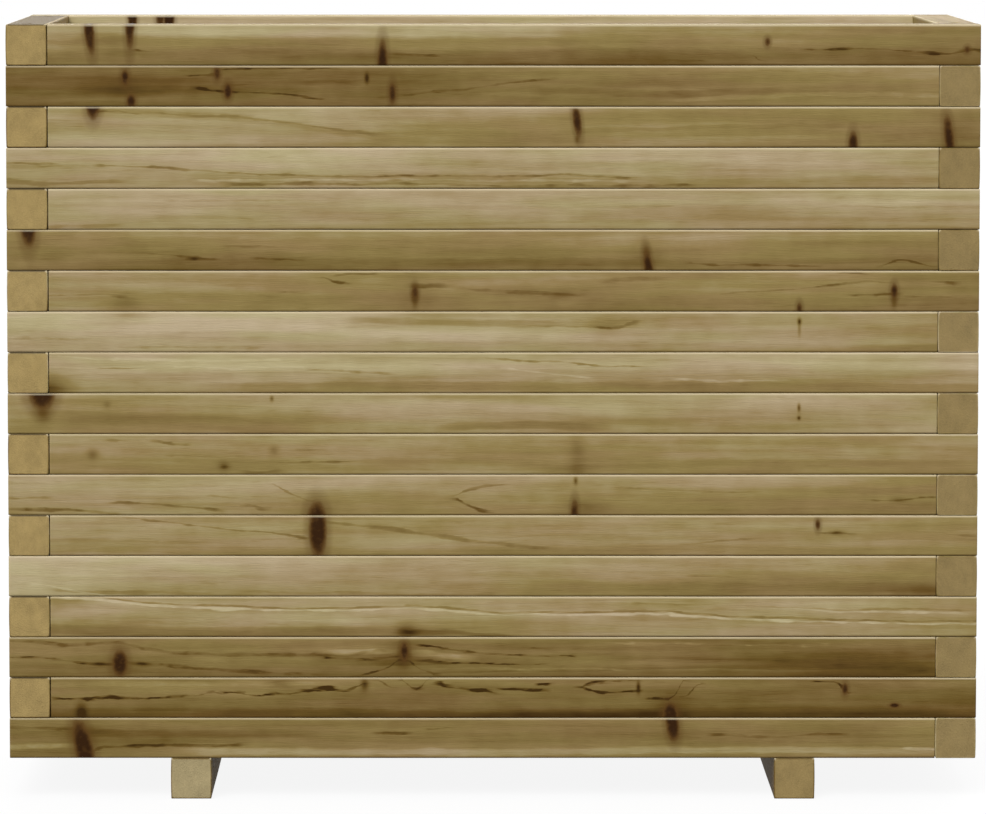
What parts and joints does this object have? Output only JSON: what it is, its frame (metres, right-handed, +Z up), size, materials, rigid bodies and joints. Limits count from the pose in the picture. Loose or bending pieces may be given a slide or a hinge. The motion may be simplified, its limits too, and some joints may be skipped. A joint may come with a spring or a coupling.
{
  "type": "raised garden bed",
  "caption": "Rectangular raised planter box of stacked square timber slats with interlocking corners, a slatted floor and two foot beams, open at the top for soil and plants.",
  "frame": {"origin": "on the ground under the middle of the planter", "axes": "+X along its length to the right seen from the front, +Y towards its back, +Z up"},
  "size_m": [0.996, 0.398, 0.798],
  "materials": {
    "slat_timber": "planed and pressure treated, bare",
    "foot_timber": "planed and pressure treated, bare",
    "floor_timber": "sawn and pressure treated, bare",
    "screw_steel": "zinc plated"
  },
  "bodies": {
    "root": {"course_01_long_slats": "slat_timber", "course_02_long_slats": "slat_timber", "course_03_long_slats": "slat_timber", "course_04_long_slats": "slat_timber", "course_05_long_slats": "slat_timber", "course_06_long_slats": "slat_timber", "course_07_long_slats": "slat_timber", "course_08_long_slats": "slat_timber", "course_09_long_slats": "slat_timber", "course_10_long_slats": "slat_timber", "course_11_long_slats": "slat_timber", "course_12_long_slats": "slat_timber", "course_13_long_slats": "slat_timber", "course_14_long_slats": "slat_timber", "course_15_long_slats": "slat_timber", "course_16_long_slats": "slat_timber", "course_17_long_slats": "slat_timber", "course_18_long_slats": "slat_timber", "course_01_short_slats": "slat_timber", "course_02_short_slats": "slat_timber", "course_03_short_slats": "slat_timber", "course_04_short_slats": "slat_timber", "course_05_short_slats": "slat_timber", "course_06_short_slats": "slat_timber", "course_07_short_slats": "slat_timber", "course_08_short_slats": "slat_timber", "course_09_short_slats": "slat_timber", "course_10_short_slats": "slat_timber", "course_11_short_slats": "slat_timber", "course_12_short_slats": "slat_timber", "course_13_short_slats": "slat_timber", "course_14_short_slats": "slat_timber", "course_15_short_slats": "slat_timber", "course_16_short_slats": "slat_timber", "course_17_short_slats": "slat_timber", "course_18_short_slats": "slat_timber", "left_foot": "foot_timber", "right_foot": "foot_timber", "floor_board_1": "floor_timber", "floor_board_2": "floor_timber", "floor_board_3": "floor_timber", "corner_screws_front_left": "screw_steel", "corner_screws_front_right": "screw_steel", "corner_screws_back_left": "screw_steel", "corner_screws_back_right": "screw_steel", "floor_screws": "screw_steel", "foot_screws": "screw_steel"}
  },
  "joints": []
}
